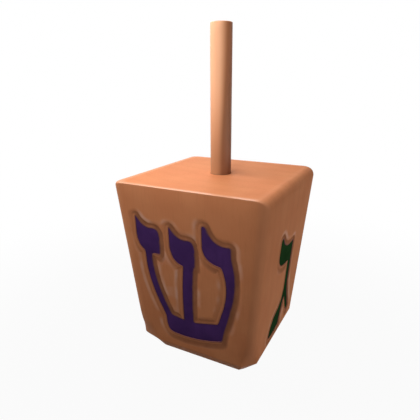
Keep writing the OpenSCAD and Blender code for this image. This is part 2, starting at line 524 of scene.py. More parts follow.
@dataclass(frozen=True)
class WoodFinish:
    """Smooth sanded wood with a thin wax, its fibres upright. Lengths are millimetres.

    A size is a width across the fibres and a length along them. A range is where a noise begins to show
    and where it shows in full.
    """

    name: str
    pale: Colour
    warm: Colour
    late: Colour
    # Painted shade and highlights round the letters, where there is carving
    carving: Optional[Carving] = None
    # Painted highlight and painted shade on the stem, where there is one
    stem_light_and_shade: Optional[StemLightAndShade] = None
    # Yearly rings, which lie round a pith outside the piece
    pith: Pair = (14.0, 74.0)
    ring_pitch: float = 4.6
    ring_show: float = 0.1
    ring_wander: float = 5.0
    wander_size: Pair = (22.0, 70.0)
    ring_start: Pair = (0.35, 0.9)
    ring_end: Pair = (0.9, 1.0)
    # Mottle, fibres and pores
    mottle_size: Pair = (9.0, 9.0)
    mottle_range: Pair = (0.3, 0.7)
    fibre_size: Pair = (0.45, 16.0)
    fibre_range: Pair = (0.45, 0.75)
    fibre_show: float = 0.16
    fibre_rough: float = 0.16
    fibre_height: float = 0.5
    pore_size: Pair = (0.16, 1.8)
    pore_range: Pair = (0.62, 0.8)
    pore_show: float = 0.25
    pore_rough: float = 0.1
    # Worn edges, polished by hands, paler where the mesh marks them; along the front top edge that paleness
    # is a painted highlight
    worn: Colour = linear("#f0b390")
    worn_least: float = 0.4
    worn_mottle: float = 0.6
    edge_smooth: float = 0.08
    edge_polish: float = 0.2
    polish_roughness: float = 0.25
    # Surface
    roughness: float = 0.6
    gloss: float = 0.02
    bump_depth: float = 0.02
    bump_strength: float = 0.35

    def material(self) -> bpy.types.Material:
        """Makes the finish.

        Returns:
            The material.
        """
        sheet = NodeSheet.material(self.name)
        place = sheet.millimetres()
        fibre = sheet.noise(place.counted(*self.fibre_size), Detail.FINE)
        pore = sheet.noise(place.counted(*self.pore_size), Detail.PLAIN).rise(*self.pore_range)
        mottle = sheet.noise(place.counted(*self.mottle_size), Detail.FINE)
        tone = sheet.mixed(self.pale, self.warm, mottle.rise(*self.mottle_range))
        tone = sheet.mixed(tone, self.late, self._rings(sheet, place) * self.ring_show)
        tone = sheet.mixed(tone, self.late, fibre.rise(*self.fibre_range) * self.fibre_show)
        tone = sheet.mixed(tone, self.late, pore * self.pore_show)
        # Painted highlight down one side of the stem, painted shade opposite and towards its lower end
        if self.stem_light_and_shade is not None:
            tone = self.stem_light_and_shade.over(sheet, place, tone)
        edge = sheet.attribute(EDGE_NAME)
        # Paler edges: wear, and a painted highlight along the top edges, strongest on the front
        tone = sheet.mixed(tone, self.worn, edge * (mottle * self.worn_mottle + self.worn_least))
        rough = self.roughness + fibre.centred() * self.fibre_rough + pore * self.pore_rough
        rough = rough - edge * self.edge_smooth
        if self.carving is not None:
            tone, rough = self.carving.over(sheet, place, tone, rough)
        normal = sheet.bump(fibre * self.fibre_height - pore, self.bump_strength, self.bump_depth)
        return sheet.solid({
            "Base Color": tone, "Roughness": rough, "Normal": normal, "Specular IOR Level": self.gloss,
            "Coat Weight": edge * self.edge_polish, "Coat Roughness": self.polish_roughness})

    def _rings(self, sheet: NodeSheet, place: Value) -> Value:
        """Finds the dark late wood of the yearly rings.

        Args:
            sheet: The material's nodes.
            place: The place in millimetres.

        Returns:
            1 in the late wood and 0 beside it.
        """
        wander = sheet.noise(place.counted(*self.wander_size)) * self.ring_wander
        radius = place.moved(-self.pith[0], -self.pith[1], 0).scaled(1, 1, 0).length()
        share = ((radius + wander) * (1 / self.ring_pitch)).fraction()
        return share.rise(*self.ring_start) * (1 - share.rise(*self.ring_end))


@dataclass(frozen=True)
class PaintFinish:
    """Flat paint brushed into a carved pocket, thin and a little worn at its edge.

    Lengths are millimetres. A size is a width to the sides and a length upwards.
    """

    name: str
    colour: Colour
    deep: Colour
    worn: Colour = linear("#74513f")
    # Brush strokes, clouds of thicker paint and specks
    stroke_size: Pair = (0.5, 5.0)
    stroke_range: Pair = (0.5, 0.8)
    stroke_show: float = 0.35
    stroke_rough: float = 0.2
    cloud_size: Pair = (5.0, 5.0)
    cloud_range: Pair = (0.3, 0.7)
    speck_size: Pair = (0.6, 0.9)
    speck_height: float = 0.4
    # Thin places: distances from the edge, and the specks and clouds that have them
    thin_edge: Pair = (-0.55, 0.05)
    thin_specks: Pair = (0.42, 0.72)
    thin_clouds: Pair = (0.35, 0.65)
    thin_show: float = 0.6
    thin_rough: float = 0.1
    # Surface
    roughness: float = 0.66
    gloss: float = 0.0
    bump_depth: float = 0.03
    bump_strength: float = 0.3

    def material(self) -> bpy.types.Material:
        """Makes the finish.

        Returns:
            The material.
        """
        sheet = NodeSheet.material(self.name)
        place = sheet.millimetres()
        stroke = sheet.noise(place.counted(*self.stroke_size), Detail.FINE)
        cloud = sheet.noise(place.counted(*self.cloud_size))
        speck = sheet.noise(place.counted(*self.speck_size))
        tone = sheet.mixed(self.colour, self.deep, cloud.rise(*self.cloud_range))
        tone = sheet.mixed(tone, self.deep, stroke.rise(*self.stroke_range) * self.stroke_show)
        thin = sheet.attribute(DISTANCE_NAME).rise(*self.thin_edge)
        thin = thin * speck.rise(*self.thin_specks) * cloud.rise(*self.thin_clouds)
        tone = sheet.mixed(tone, self.worn, thin * self.thin_show)
        rough = self.roughness + stroke.centred() * self.stroke_rough + thin * self.thin_rough
        normal = sheet.bump(stroke + speck * self.speck_height, self.bump_strength, self.bump_depth)
        return sheet.solid({
            "Base Color": tone, "Roughness": rough, "Normal": normal, "Specular IOR Level": self.gloss})


@dataclass(frozen=True)
class FloorFinish:
    """A pale studio floor that goes over into the white background, with a soft shadow near the object.

    Lengths are millimetres.
    """

    name: str = "studio_floor"
    paper: Colour = linear("#7c7c7c")
    shadow_show: float = 0.05
    near: float = 40.0
    far: float = 160.0

    def material(self) -> bpy.types.Material:
        """Makes the finish.

        Returns:
            The material.
        """
        sheet = NodeSheet.material(self.name)
        away = sheet.millimetres().scaled(1, 1, 0).length()
        lit = sheet.node("ShaderNodeBsdfDiffuse", {}, {"Color": self.paper})
        glow = sheet.node("ShaderNodeEmission", {}, {"Color": WHITE, "Strength": WHITE_LEVEL})
        share = sheet.seen() * ((1 - self.shadow_show) + away.rise(self.near, self.far) * self.shadow_show)
        return sheet.finish(sheet.node("ShaderNodeMixShader", {}, {0: share, 1: lit, 2: glow}))


class SideName(Enum):
    """The four sides of the block, as the record names the faces that the dreidel comes to rest on."""

    FRONT = "front_side"
    RIGHT = "right_side"
    BACK = "back_side"
    LEFT = "left_side"


SIDE_COUNT = len(SideName)


@dataclass(frozen=True)
class Side:
    """One flat side of the block in millimetres, with X across it, Y up along it and Z out of it."""

    origin: np.ndarray
    axes: np.ndarray

    @classmethod
    def from_record(cls, name: SideName, lower_z: float) -> "Side":
        """Reads a side's plane from the record.

        Args:
            name: Which side.
            lower_z: Height of the side's lower end, where Y is 0.

        Returns:
            The side.
        """
        mount = next(mount for mount in frame["record"]["mounts"] if mount["name"] == name.value)
        out = unit(np.array(mount["axis"], float))
        up = unit(np.array([0.0, 0.0, 1.0]) - out * out[2])
        place = np.array(mount["pos_m"], float) / MM
        return cls(place + up * (lower_z - place[2]) / up[2], np.array([np.cross(up, out), up, out]))

    def flat(self, points: np.ndarray) -> np.ndarray:
        """Points of the shared frame as seen on the side."""
        return (points - self.origin) @ self.axes.T

    def placed(self, points: np.ndarray) -> np.ndarray:
        """Points on the side, put in the shared frame."""
        return self.origin + points @ self.axes


@dataclass
class Letter:
    """The closed outlines of one letter on its side in millimetres, with the letter on their left."""

    node: str
    side: Side
    # Spacing of an outline's points, and how often its corners are eased
    spacing: float = 0.38
    soften_passes: int = 2
    # Rings beside an outline: how exactly they keep their distance, where between two points of the outline
    # their own points are tried, and the share of the spacing that these keep
    ring_tolerance: float = 0.03
    ring_shares: tuple[float, ...] = (0.0, 0.33, 0.67)
    ring_thinning: float = 0.7
    # Decimals to which a solid's corners are matched, and how many points are measured at a time
    corner_digits: int = 3
    batch: int = 1000
    loops: list[np.ndarray] = field(default_factory=list)

    def __post_init__(self) -> None:
        """Takes the outlines from the outer face of the letter's solid."""
        mesh = frame["nodes"][self.node].data
        mesh.calc_loop_triangles()
        flat = self.side.flat(np.array([vertex.co for vertex in mesh.vertices]) / MM)
        outer = flat[:, 2].max() - self.ring_tolerance
        keys = [tuple(place) for place in np.round(flat[:, :2], self.corner_digits).tolist()]
        edges: dict[tuple, bool] = {}
        for triangle in mesh.loop_triangles:
            if flat[list(triangle.vertices), 2].min() > outer:
                one, two, three = (keys[i] for i in triangle.vertices)
                edges.update({(one, two): True, (two, three): True, (three, one): True})
        after = {start: end for start, end in edges if (end, start) not in edges}
        while after:
            start, here = after.popitem()
            loop = [start]
            while here != start:
                loop.append(here)
                here = after.pop(here)
            self.loops.append(self._softened(np.array(loop)))

    def _softened(self, loop: np.ndarray) -> np.ndarray:
        """Spaces an outline's points evenly and eases its corners, as a hand-cut pocket has them.

        Args:
            loop: The corners of the outline.

        Returns:
            The points.
        """
        closed = np.vstack([loop, loop[:1]])
        run = np.concatenate([[0], np.cumsum(np.linalg.norm(np.diff(closed, axis=0), axis=1))])
        stops = np.linspace(0, run[-1], int(run[-1] / self.spacing), endpoint=False)
        even = np.column_stack([np.interp(stops, run, closed[:, axis]) for axis in (0, 1)])
        for _ in range(self.soften_passes):
            even = (np.roll(even, 1, 0) + 2 * even + np.roll(even, -1, 0)) / 4
        return even

    def measure(self, points: np.ndarray) -> tuple[np.ndarray, np.ndarray]:
        """Measures how far points lie from the outline.

        Args:
            points: Places on the side.

        Returns:
            Distances, negative inside the letter, and the directions that lead away from it.
        """
        starts = np.concatenate(self.loops)
        ends = np.concatenate([np.roll(loop, -1, 0) for loop in self.loops])
        run = ends - starts
        rise = np.where(np.abs(run[:, 1]) < LEAST_LENGTH, LEAST_LENGTH, run[:, 1])
        distances, ways = [], []
        for part in np.array_split(points, len(points) // self.batch + 1):
            gap = part[:, None] - starts
            share = np.clip((gap * run).sum(2) / (run * run).sum(1), 0, 1)
            gap -= share[..., None] * run
            lengths = np.sqrt((gap * gap).sum(2))
            nearest = np.arange(len(part)), lengths.argmin(1)
            level = part[:, 1:2]
            crossed = (starts[:, 1] > level) != (ends[:, 1] > level)
            reach = starts[:, 0] + (level - starts[:, 1]) * run[:, 0] / rise
            sign = np.where((crossed & (part[:, :1] < reach)).sum(1) % 2, -1.0, 1.0)
            distances.append(sign * lengths[nearest])
            ways.append(gap[nearest] * (sign / np.maximum(lengths[nearest], LEAST_LENGTH))[:, None])
        return np.concatenate(distances), np.concatenate(ways)

    def ring(self, offset: float) -> np.ndarray:
        """Finds points all along the outline at a distance from it.

        Args:
            offset: The distance, positive outside the letter.

        Returns:
            The points.
        """
        found = []
        for loop in self.loops:
            run = np.roll(loop, -1, 0) - np.roll(loop, 1, 0)
            out = unit(np.column_stack([run[:, 1], -run[:, 0]]))
            for share in self.ring_shares:
                middle = loop + share * (np.roll(loop, -1, 0) - loop)
                way = unit(out + share * (np.roll(out, -1, 0) - out))
                found.append(middle + offset * way)
        points = np.concatenate(found)
        kept = np.abs(self.measure(points)[0] - offset) < self.ring_tolerance
        return thinned(points[kept], self.ring_thinning * self.spacing)

    def edges(self, first: int) -> list[Edge]:
        """Pairs the neighbours round each outline.

        Args:
            first: The number of the first outline's first point, from which all points are numbered on.

        Returns:
            The pairs.
        """
        pairs = []
        for loop in self.loops:
            count = len(loop)
            pairs += [(first + i, first + (i + 1) % count) for i in range(count)]
            first += count
        return pairs


class Piece:
    """Points and faces of a piece that is being made, in millimetres, with numbers carried at its points."""

    def __init__(self, name: str) -> None:
        """Starts an empty piece.

        Args:
            name: The piece's name.
        """
        self.name = name
        self.points: list[np.ndarray] = []
        self.faces: list[Face] = []
        self.count = 0
        self.carried: dict[str, list[np.ndarray]] = {number: [] for number in CARRIED}

    def add(self, points: np.ndarray, **carried: Union[float, np.ndarray]) -> int:
        """Adds points.

        Args:
            points: Places in the shared frame.
            **carried: Numbers for the points, by name. Those left out are 0.

        Returns:
            The number of the first new point.
        """
        first = self.count
        self.points.append(points)
        self.count += len(points)
        for name, lists in self.carried.items():
            lists.append(np.broadcast_to(np.asarray(carried.get(name, 0.0), float), (len(points),)))
        return first

    def stack(self, rings: Sequence[int], count: int, columns: Optional[Iterable[int]] = None) -> None:
        """Joins closed rings of points with quads, each ring to the next.

        Args:
            rings: The first point of each ring.
            count: The points of a ring.
            columns: The columns to join, when not all.
        """
        for lower, upper in zip(rings, rings[1:]):
            for here in range(count) if columns is None else columns:
                after = (here + 1) % count
                self.faces.append((lower + here, lower + after, upper + after, upper + here))

    def fan(self, centre: int, ring: int, count: int, upward: bool) -> None:
        """Closes a ring of points with triangles.

        Args:
            centre: The point in the middle.
            ring: The first point of the ring.
            count: The points of the ring.
            upward: Whether the triangles face up.
        """
        for i in range(count):
            pair = (ring + i, ring + (i + 1) % count)
            self.faces.append((centre, *pair) if upward else (centre, *reversed(pair)))

    def make(self, material: bpy.types.Material, sharp_angle: float = SHARP_ANGLE) -> bpy.types.Object:
        """Makes the piece's object.

        Args:
            material: Its finish.
            sharp_angle: Edges that turn by more degrees than this stay sharp.

        Returns:
            The object, in the scene.
        """
        used = np.unique(np.concatenate([np.array(face) for face in self.faces]))
        place = np.full(self.count, -1)
        place[used] = np.arange(len(used))
        mesh = bpy.data.meshes.new(self.name)
        faces = [tuple(int(place[i]) for i in face) for face in self.faces]
        mesh.from_pydata((np.concatenate(self.points)[used] * MM).tolist(), [], faces)
        for name, lists in self.carried.items():
            numbers = np.concatenate(lists)[used].astype(np.float32)
            mesh.attributes.new(name, "FLOAT", "POINT").data.foreach_set("value", numbers)
        mesh.materials.append(material)
        mesh.shade_smooth()
        mesh.set_sharp_from_angle(angle=math.radians(sharp_angle))
        piece = bpy.data.objects.new(self.name, mesh)
        bpy.context.scene.collection.objects.link(piece)
        return piece


def dressed(piece: bpy.types.Object, node: str) -> bpy.types.Object:
    """Lets a piece stand for a node of the solids.

    Args:
        piece: The finished piece.
        node: The node that it replaces.

    Returns:
        The piece.
    """
    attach(piece, ROOT_BODY)
    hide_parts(node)
    LOG.info("%s: %d faces for %s", piece.name, len(piece.data.polygons), node)
    return piece


@dataclass(frozen=True)
class Level:
    """One level of the block: half its width and its height on each side, its corners and its edge wear,
    which holds a painted highlight along the top edge.

    The corner after a side begins one leg before that side's end and ends one leg along the next side.
    The cut says how far its arc is planed towards a straight bevel.
    """

    halves: np.ndarray
    heights: np.ndarray
    legs: np.ndarray
    next_legs: np.ndarray
    wear: float = 0.0
    cut: float = 0.0


@dataclass
class Block:
    """The tapered block, with its spinning point, the stem's socket and the carving.

    Lengths are millimetres. Four numbers are for the front, right, back and left side, or for the corner
    after each of them.
    """

    finish: WoodFinish
    node: str = "body"
    stem_node: str = "stem"
    sharp_angle: float = 38.0
    # Sides, bevel below them and point
    base_w: float = 31.6
    side_z: float = 13.8
    bevel_round: float = 0.4
    foot_w: float = 23.2
    foot_z: float = 9.0
    foot_round: float = 0.7
    foot_corner: float = 0.9
    nose_r: float = 1.5
    # Top edges: the rounding that sets the sides' lean, each edge's own rounding, and its wear with a painted
    # highlight, strongest along the front edge
    top_round: float = 1.7
    eased_rounds: PerSide = (0.22, 2.0, 1.7, 1.7)
    side_wear_and_highlight: PerSide = (1.0, 0.1, 0.4, 0.5)
    # Upright edges, and the planed form that they go over to at their lower ends
    upright_rounds: PerSide = (2.2, 2.9, 2.9, 3.5)
    upright_wear: float = 0.15
    lower_legs: PerSide = (2.8, 2.6, 2.6, 2.64)
    lower_next_legs: PerSide = (2.8, 2.6, 2.6, 6.0)
    lower_drops: PerSide = (0.0, 0.0, 0.0, 1.1)
    lower_reach: float = 9.0
    lower_cut: float = 1.0
    cut_fade: int = 3
    # Socket, and flat rings round it: how far in from the rim, and the share of the rim's wear and painted
    # highlight
    socket_depth: float = 16.0
    socket_gap: float = 0.05
    socket_ease: float = 0.12
    top_rings: tuple[Pair, ...] = ((0.035, 0.7), (0.08, 0.0), (0.3, 0.0), (0.6, 0.0), (0.82, 0.0), (1.0, 0.0))
    # Pocket for the paint, and the groove round it: distance from the letter, and share of the depth
    pocket_depth: float = 0.8
    pocket_inset: float = 0.06
    groove_depth: float = 0.15
    groove_shares: tuple[Pair, ...] = (
        (0.0, 0.5), (0.25, 0.6), (0.5, 0.85), (0.75, 1.0), (1.0, 0.92), (1.25, 0.62), (1.5, 0.28),
        (1.75, 0.06), (2.0, -0.03), (2.3, 0.0))
    shallow_under: float = 0.7
    lee_way: Pair = (0.85, 0.4)
    lee_fade: Pair = (1.5, 4.0)
    # Mesh
    side_columns: int = 24
    corner_columns: int = 8
    side_rows: int = 26
    arc_steps: int = 7
    fill_spacing: float = 1.5
    ring_margin: float = 0.2

    def __post_init__(self) -> None:
        """Takes the overall sizes from the solids, and works out the lean of the sides from them."""
        low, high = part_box(self.node)
        self.top_w = (high.x - low.x) / MM
        self.top_z = high.z / MM
        stem_low, stem_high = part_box(self.stem_node)
        self.socket_r = (stem_high.x - stem_low.x) / MM / 2 + self.socket_gap
        self.base = np.array([self.base_w / 2, self.side_z])
        run = np.array([self.top_w / 2, self.top_z]) - self.top_round - self.base
        lean = QUARTER_TURN - math.atan2(run[1], run[0]) + math.asin(self.top_round / np.linalg.norm(run))
        slope = math.tan(lean)
        self.ridge = np.array([self.base[0] + (self.top_z - self.base[1]) * slope, self.top_z])
        self.drops = np.outer(self.lower_drops, [slope, 1.0])
        self.rounds = np.array(self.upright_rounds)
        self.lower_ends = np.array([self.lower_legs, self.lower_next_legs])
        self.turns = np.linspace(0, QUARTER_TURN, self.corner_columns + 1)[:-1]
        self.stride = self.side_columns + self.corner_columns
        self.columns = SIDE_COUNT * self.stride

    def build(self, letters: dict[SideName, Letter]) -> bpy.types.Object:
        """Makes the block.

        Args:
            letters: The letter that is carved on each side.

        Returns:
            The piece.
        """
        piece = Piece("wooden_block")
        tip = piece.add(np.zeros((1, 3)))
        lower, sides, upper = self._levels()
        rings = [self._add_ring(piece, level) for level in lower + sides + upper]
        piece.fan(tip, rings[0], self.columns, False)
        first, last = len(lower), len(lower) + len(sides) - 1
        corners = [i for i in range(self.columns) if i % self.stride >= self.side_columns]
        piece.stack(rings[:first + 1], self.columns)
        piece.stack(rings[first:last + 1], self.columns, corners)
        piece.stack(rings[last:], self.columns)
        for turn, letter in enumerate(letters.values()):
            self._add_side(piece, rings[first:last + 1], turn, letter)
        self._add_top(piece, rings[-1])
        return dressed(piece.make(self.finish.material(), self.sharp_angle), self.node)

    def _levels(self) -> tuple[list[Level], list[Level], list[Level]]:
        """Works out the block's levels from the tip up.

        Returns:
            The levels below the flat sides, along them and above them.
        """
        middle = np.array([0.0, self.top_z])
        rims = np.array([
            fillet(self.base, self.ridge, middle, radius, self.arc_steps) for radius in self.eased_rounds])
        rims[..., 0] = np.minimum(rims[..., 0], self.top_w / 2)
        outline = self._lower_outline()
        lowest = outline[-1] - self.drops
        shares = np.linspace(0, 1, self.side_rows + 1)
        lower = [self._lower_level(spot) for spot in outline[:-1]]
        sides = [self._side_level(lowest + share * (rims[:, 0] - lowest)) for share in shares]
        upper = [self._upper_level(rims, step) for step in range(1, self.arc_steps + 1)]
        return lower, sides, upper

    def _lower_outline(self) -> np.ndarray:
        """Draws the block's half outline below its sides.

        Returns:
            Half widths and heights, from beside the tip to the sides' lower ends.
        """
        foot = np.array([self.foot_w / 2, self.foot_z])
        centre = np.array([0.0, self.nose_r])
        slope = foot - centre
        nose_end = math.atan2(slope[1], slope[0]) - math.acos(self.nose_r / np.linalg.norm(slope))
        nose = arc(centre, self.nose_r, np.linspace(-QUARTER_TURN, nose_end, self.arc_steps + 1))[1:]
        foot_arc = fillet(nose[-1], foot, self.base, self.foot_round, self.arc_steps)
        base_arc = fillet(foot_arc[-1], self.base, self.ridge, self.bevel_round, self.arc_steps)
        shares = np.linspace(0, 1, self.arc_steps)[1:-1, None]
        point = nose[-1] + shares * (foot_arc[0] - nose[-1])
        return np.concatenate([nose, point, foot_arc, base_arc])

    def _lower_level(self, spot: np.ndarray) -> Level:
        """Makes a level below the sides.

        Args:
            spot: Its half width and height on the outline.

        Returns:
            The level.
        """
        share = np.clip((spot[1] - self.foot_z) / (self.side_z - self.foot_z), 0, 1)
        legs = np.minimum(self.foot_corner + share * (self.lower_ends - self.foot_corner), spot[0])
        return Level(*(spot - share * self.drops).T, *legs, cut=self.lower_cut)

    def _side_level(self, row: np.ndarray) -> Level:
        """Makes a level along the sides, whose corners go over to their planed form towards the lower end.

        Args:
            row: The half width and the height on each side.

        Returns:
            The level.
        """
        planed = float(smooth(self.side_z + self.lower_reach, self.side_z, row[0, 1]))
        legs = self.rounds + planed * (self.lower_ends - self.rounds)
        return Level(*row.T, *legs, cut=self.lower_cut * planed ** self.cut_fade)

    def _upper_level(self, rims: np.ndarray, step: int) -> Level:
        """Makes a level of the rounded top edge.

        Args:
            rims: The rounding's arc on each side.
            step: Which point of the arcs.

        Returns:
            The level.
        """
        inset = float(np.mean(rims[:, 0, 0] - rims[:, step, 0]))
        legs = self.rounds - max(inset, 0)
        return Level(*rims[:, step].T, legs, legs, step / self.arc_steps)

    def _add_ring(self, piece: Piece, level: Level) -> int:
        """Adds one closed ring of the block, from the left end of the front side round to the right.

        Args:
            piece: The block.
            level: The ring's level.

        Returns:
            The number of its first point.
        """
        places = [self._quarter(level, side) for side in range(SIDE_COUNT)]
        # Wear at the corners, and along the top edge wear with a painted highlight
        wear = self._rim_wear_and_highlight(level.wear, self.upright_wear * np.sin(2 * self.turns))
        return piece.add(np.vstack(places), **{DISTANCE_NAME: FAR_FROM_LETTERS, EDGE_NAME: wear})

    def _quarter(self, level: Level, side: int) -> np.ndarray:
        """Works out a ring's points along one side and round the corner after it.

        Args:
            level: The ring's level.
            side: How many quarter turns the side is from the front.

        Returns:
            The points.
        """
        after = (side + 1) % SIDE_COUNT
        half, left, right = level.halves[side], level.halves[side - 1], level.halves[after]
        legs = np.array([level.legs[side], level.next_legs[side]])
        start, end = level.next_legs[side - 1] - left, right - legs[0]
        across = np.linspace(start, end, self.side_columns + 1)[:-1]
        flat = np.column_stack([across, np.full_like(across, -half)])
        bow = np.column_stack([np.sin(self.turns), -np.cos(self.turns)])
        chord = np.column_stack([self.turns, self.turns - QUARTER_TURN]) / QUARTER_TURN
        corner = (bow + level.cut * (chord - bow)) * legs + np.array([end, legs[1] - half])
        climb = smooth(0, QUARTER_TURN, self.turns) * (level.heights[after] - level.heights[side])
        heights = level.heights[side] + np.concatenate([np.zeros_like(across), climb])
        spin = np.linalg.matrix_power(np.array([[0.0, 1.0], [-1.0, 0.0]]), side)
        return np.column_stack([np.vstack([flat, corner]) @ spin, heights])

    def _rim_wear_and_highlight(self, wear: float, upright: Union[float, np.ndarray] = 0.0) -> np.ndarray:
        """Works out the wear and painted highlight round a ring, which goes over from one side's share to the
        next at a corner.

        Args:
            wear: How worn the ring is, with its painted highlight, where a side's share is 1.
            upright: The least wear at the corners.

        Returns:
            The wear at each point.
        """
        found = []
        for side, here in enumerate(self.side_wear_and_highlight):
            after = self.side_wear_and_highlight[(side + 1) % SIDE_COUNT]
            corner = np.linspace(here, after, self.corner_columns + 1)[:-1]
            found += [np.full(self.side_columns, here * wear), np.maximum(corner * wear, upright)]
        return np.concatenate(found)

    def _add_side(self, piece: Piece, rings: list[int], turn: int, letter: Letter) -> None:
        """Adds one flat side with the carving round its letter.

        Args:
            piece: The block.
            rings: The first point of each ring along the sides.
            turn: How many quarter turns the side is from the front.
            letter: The letter on it.
        """
        border = self._border(rings, turn)
        count = len(border)
        placed = letter.side.flat(np.concatenate(piece.points)[border])[:, :2]
        around = [letter.ring(distance) for distance, _ in self.groove_shares[1:]]
        around = [self._within(ring, placed, self.ring_margin) for ring in around]
        pocket = letter.ring(-self.pocket_inset)
        flat = np.concatenate([placed, *letter.loops, pocket, *around, self._fill(letter, placed)])
        edges = [(i, (i + 1) % count) for i in range(count)] + letter.edges(count)
        spots, triangles, sources = filled(flat, edges)
        heights, carried = self._carved(letter, spots)
        first = piece.add(letter.side.placed(np.column_stack([spots, heights])), **carried)
        numbers = []
        for spot, together in enumerate(sources):
            numbers.append(next((border[i] for i in together if i < count), first + spot))
        piece.faces += [tuple(numbers[i] for i in triangle) for triangle in triangles]

    def _border(self, rings: list[int], turn: int) -> list[int]:
        """Lists the points round one flat side.

        Args:
            rings: The first point of each ring along the sides.
            turn: How many quarter turns the side is from the front.

        Returns:
            The numbers of the points, from the lower left corner to the right and on round.
        """
        left = turn * self.stride
        right = left + self.side_columns
        border = [rings[0] + i for i in range(left, right + 1)]
        border += [ring + right for ring in rings[1:-1]]
        border += [rings[-1] + i for i in range(right, left - 1, -1)]
        return border + [ring + left for ring in rings[-2:0:-1]]

    def _carved(self, letter: Letter, spots: np.ndarray) -> tuple[np.ndarray, dict[str, np.ndarray]]:
        """Carves the pocket and the groove of a letter.

        Args:
            letter: The letter.
            spots: Places on its side.

        Returns:
            The heights there, and the numbers that the points carry.
        """
        away, way = letter.measure(spots)
        fade = 1 - smooth(*self.lee_fade, away)
        lee = way @ unit(np.array(self.lee_way)) * fade
        under = np.maximum(-way[:, 1], 0) * fade
        distances, shares = zip(*self.groove_shares)
        heights = -self.groove_depth * np.interp(away, distances, shares)
        heights *= 1 - self.shallow_under * under
        heights = np.where(away < -self.pocket_inset / 2, -self.pocket_depth, heights)
        heights = np.where(away > distances[-1], 0.0, heights)
        near = np.minimum(away, FAR_FROM_LETTERS)
        return heights, {DISTANCE_NAME: near, LEE_NAME: lee, UNDER_NAME: under}

    def _fill(self, letter: Letter, border: np.ndarray) -> np.ndarray:
        """Scatters loose points over a side, away from its border and from the carving.

        Args:
            letter: The letter on the side.
            border: The points round the side.

        Returns:
            The points.
        """
        half = self.fill_spacing / 2
        groove_end = self.groove_shares[-1][0]
        spans = zip(border.min(0), border.max(0))
        lines = [np.arange(low, high, self.fill_spacing) for low, high in spans]
        grid = np.stack(np.meshgrid(*lines), -1).reshape(-1, 2)
        grid[:, 0] += np.where(np.round(grid[:, 1] / self.fill_spacing) % 2, half, 0.0)
        away, _ = letter.measure(grid)
        apart = (away > groove_end + half) | (away < -half)
        return self._within(grid[apart], border, half)

    @staticmethod
    def _within(points: np.ndarray, border: np.ndarray, margin: float) -> np.ndarray:
        """Keeps the points that lie inside a convex border.

        Args:
            points: Places on a side.
            border: The points round it.
            margin: How far inside they have to lie.

        Returns:
            The points kept.
        """
        run = np.roll(border, -1, 0) - border
        inward = unit(np.column_stack([-run[:, 1], run[:, 0]]))
        depth = ((points[:, None] - border) * inward).sum(2).min(1)
        return points[depth > margin]

    def _add_top(self, piece: Piece, rim: int) -> None:
        """Closes the top with flat rings that lead to the stem's socket, and the socket with wall and floor.

        Args:
            piece: The block.
            rim: The first point of the uppermost ring.
        """
        outer = np.concatenate(piece.points)[rim:rim + self.columns, :2]
        way = unit(outer)
        mouth = way * (self.socket_r + self.socket_ease)
        wall = way * self.socket_r
        floor_z = self.top_z - self.socket_depth
        # Wear and painted highlight of the top edge, carried onto the first flat ring
        wear = self._rim_wear_and_highlight(1.0)
        rings = [rim]
        for share, worn in self.top_rings:
            rings.append(self._add_round(piece, outer + share * (mouth - outer), self.top_z, wear * worn))
        rings.append(self._add_round(piece, wall, self.top_z - self.socket_ease))
        rings.append(self._add_round(piece, wall, floor_z))
        piece.stack(rings, self.columns)
        floor = piece.add(np.array([[0.0, 0.0, floor_z]]), **{DISTANCE_NAME: FAR_FROM_LETTERS})
        piece.fan(floor, rings[-1], self.columns, True)

    @staticmethod
    def _add_round(piece: Piece, flat: np.ndarray, z: float, wear: Union[float, np.ndarray] = 0.0) -> int:
        """Adds one ring of points at a height and returns its first."""
        places = np.column_stack([flat, np.full(len(flat), z)])
        return piece.add(places, **{DISTANCE_NAME: FAR_FROM_LETTERS, EDGE_NAME: wear})


